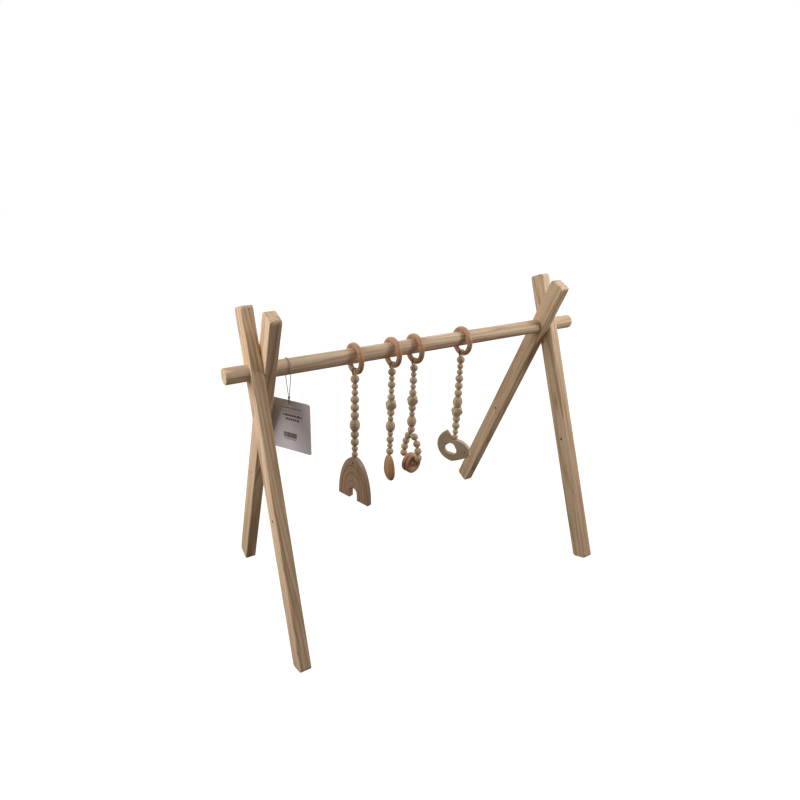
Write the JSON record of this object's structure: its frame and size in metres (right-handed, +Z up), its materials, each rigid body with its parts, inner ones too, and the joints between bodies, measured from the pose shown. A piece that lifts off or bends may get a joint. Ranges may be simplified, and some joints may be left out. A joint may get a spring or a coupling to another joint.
{
  "type": "activity play gym",
  "caption": "Free-standing wooden baby gym: two folding A-frame ends on a round bar, with bead strings, pendants and a swing tag hanging from it.",
  "frame": {"origin": "on the floor under the middle of the bar", "axes": "+X along the bar to the right, +Y to the back, +Z up"},
  "size_m": [0.7622, 0.424, 0.5925],
  "materials": {
    "ash_timber": "planed, oiled, satin",
    "ring_beech": "sanded, matt",
    "bead_beech": "turned, matt",
    "plate_beech": "sanded, matt",
    "cotton_cord": "twisted, matt",
    "tag_string": "twisted, matt",
    "tag_card": "smooth, matt"
  },
  "bodies": {
    "stand": {"bar": "ash_timber", "left_outer_leg": "ash_timber", "right_outer_leg": "ash_timber"},
    "left_inner_leg": {"left_inner_leg": "ash_timber"},
    "right_inner_leg": {"right_inner_leg": "ash_timber"},
    "rainbow_ring": {"rainbow_bar_ring": "ring_beech"},
    "rainbow_hanger": {"rainbow_ring_cord": "cotton_cord"},
    "rainbow_string": {"rainbow_large_beads": "bead_beech", "rainbow_ribbed_bead": "bead_beech", "rainbow_small_beads": "bead_beech", "rainbow_string_cord": "cotton_cord"},
    "rainbow_pendant": {"rainbow_plate": "plate_beech"},
    "drop_ring": {"drop_bar_ring": "ring_beech"},
    "drop_hanger": {"drop_ring_cord": "cotton_cord"},
    "drop_string": {"drop_faceted_bead": "bead_beech", "drop_large_beads": "bead_beech", "drop_ribbed_bead": "bead_beech", "drop_small_beads": "bead_beech", "drop_string_cord": "cotton_cord"},
    "drop_pendant": {"drop_pebble": "plate_beech"},
    "hoop_ring": {"hoop_bar_ring": "ring_beech"},
    "hoop_hanger": {"hoop_ring_cord": "cotton_cord"},
    "hoop_string": {"hoop_faceted_bead": "bead_beech", "hoop_large_beads": "bead_beech", "hoop_ribbed_bead": "bead_beech", "hoop_small_beads": "bead_beech", "hoop_string_cord": "cotton_cord"},
    "hoop_loop": {"hoop_loop_cord": "cotton_cord", "hoop_loop_large_beads": "bead_beech"},
    "bird_ring": {"bird_bar_ring": "ring_beech"},
    "bird_hanger": {"bird_ring_cord": "cotton_cord"},
    "bird_string": {"bird_faceted_bead": "bead_beech", "bird_large_beads": "bead_beech", "bird_ribbed_bead": "bead_beech", "bird_small_beads": "bead_beech", "bird_string_cord": "cotton_cord"},
    "bird_pendant": {"bird_plate": "plate_beech"},
    "hoop_front_ring": {"hoop_front_ring": "ring_beech"},
    "hoop_back_ring": {"hoop_back_ring": "ring_beech"},
    "tag": {"tag_card": "tag_card", "tag_string": "tag_string", "tag_knot": "tag_string"}
  },
  "joints": [
    {"name": "left_fold", "type": "hinge", "parent": "stand", "child": "left_inner_leg", "pos_m": [-0.30887, 0, 0.48724], "axis": [0.9999, 0, -0.0149], "range_deg": [-39.21, 6]},
    {"name": "right_fold", "type": "hinge", "parent": "stand", "child": "right_inner_leg", "pos_m": [0.29957, 0, 0.47816], "axis": [0.9999, 0, -0.0149], "range_deg": [-45.45, 6]},
    {"name": "rainbow_slide", "type": "slide", "parent": "stand", "child": "rainbow_ring", "axis": [0.9999, 0, -0.0149], "range_m": [-0.06, 0.02]},
    {"name": "rainbow_swing", "type": "hinge", "parent": "rainbow_ring", "child": "rainbow_hanger", "pos_m": [-0.146, 0, 0.47911], "axis": [1, 0, 0], "range_deg": [-35, 35]},
    {"name": "rainbow_side_swing", "type": "hinge", "parent": "rainbow_hanger", "child": "rainbow_string", "pos_m": [-0.146, 0, 0.44781], "axis": [0, -1, 0], "range_deg": [-8, 4]},
    {"name": "rainbow_spin", "type": "hinge", "parent": "rainbow_string", "child": "rainbow_pendant", "pos_m": [-0.146, 0, 0.27841], "axis": [0, 0, 1], "range_deg": [-180, 180]},
    {"name": "drop_slide", "type": "slide", "parent": "stand", "child": "drop_ring", "axis": [0.9999, 0, -0.0149], "range_m": [-0.02, 0.008]},
    {"name": "drop_swing", "type": "hinge", "parent": "drop_ring", "child": "drop_hanger", "pos_m": [-0.068, 0, 0.47795], "axis": [1, 0, 0], "range_deg": [-35, 35]},
    {"name": "drop_side_swing", "type": "hinge", "parent": "drop_hanger", "child": "drop_string", "pos_m": [-0.068, 0, 0.44665], "axis": [0, -1, 0], "range_deg": [-4, 2]},
    {"name": "drop_spin", "type": "hinge", "parent": "drop_string", "child": "drop_pendant", "pos_m": [-0.068, 0, 0.26325], "axis": [0, 0, 1], "range_deg": [-180, 180]},
    {"name": "hoop_slide", "type": "slide", "parent": "stand", "child": "hoop_ring", "axis": [0.9999, 0, -0.0149], "range_m": [-0.008, 0.03]},
    {"name": "hoop_swing", "type": "hinge", "parent": "hoop_ring", "child": "hoop_hanger", "pos_m": [-0.019, 0, 0.47721], "axis": [1, 0, 0], "range_deg": [-35, 35]},
    {"name": "hoop_side_swing", "type": "hinge", "parent": "hoop_hanger", "child": "hoop_string", "pos_m": [-0.019, 0, 0.44591], "axis": [0, -1, 0], "range_deg": [-2, 5]},
    {"name": "hoop_spin", "type": "hinge", "parent": "hoop_string", "child": "hoop_loop", "pos_m": [-0.019, 0, 0.29931], "axis": [0, 0, 1], "range_deg": [-180, 180]},
    {"name": "bird_slide", "type": "slide", "parent": "stand", "child": "bird_ring", "axis": [0.9999, 0, -0.0149], "range_m": [-0.03, 0.12]},
    {"name": "bird_swing", "type": "hinge", "parent": "bird_ring", "child": "bird_hanger", "pos_m": [0.0925, 0, 0.47555], "axis": [1, 0, 0], "range_deg": [-35, 35]},
    {"name": "bird_side_swing", "type": "hinge", "parent": "bird_hanger", "child": "bird_string", "pos_m": [0.0925, 0, 0.44425], "axis": [0, -1, 0], "range_deg": [-6, 10]},
    {"name": "bird_spin", "type": "hinge", "parent": "bird_string", "child": "bird_pendant", "pos_m": [0.0925, 0, 0.25615], "axis": [0, 0, 1], "range_deg": [-180, 180]},
    {"name": "hoop_front_swing", "type": "hinge", "parent": "hoop_loop", "child": "hoop_front_ring", "pos_m": [-0.017, -0.008, 0.24131], "axis": [0.2419, -0.9703, 0], "range_deg": [-30, 30]},
    {"name": "hoop_back_swing", "type": "hinge", "parent": "hoop_loop", "child": "hoop_back_ring", "pos_m": [-0.0193, 0.00121, 0.24131], "axis": [0.2419, -0.9703, 0], "range_deg": [-30, 30]},
    {"name": "tag_swing", "type": "hinge", "parent": "stand", "child": "tag", "pos_m": [-0.273, 0, 0.4867], "axis": [1, 0, 0], "range_deg": [-35, 35]}
  ]
}
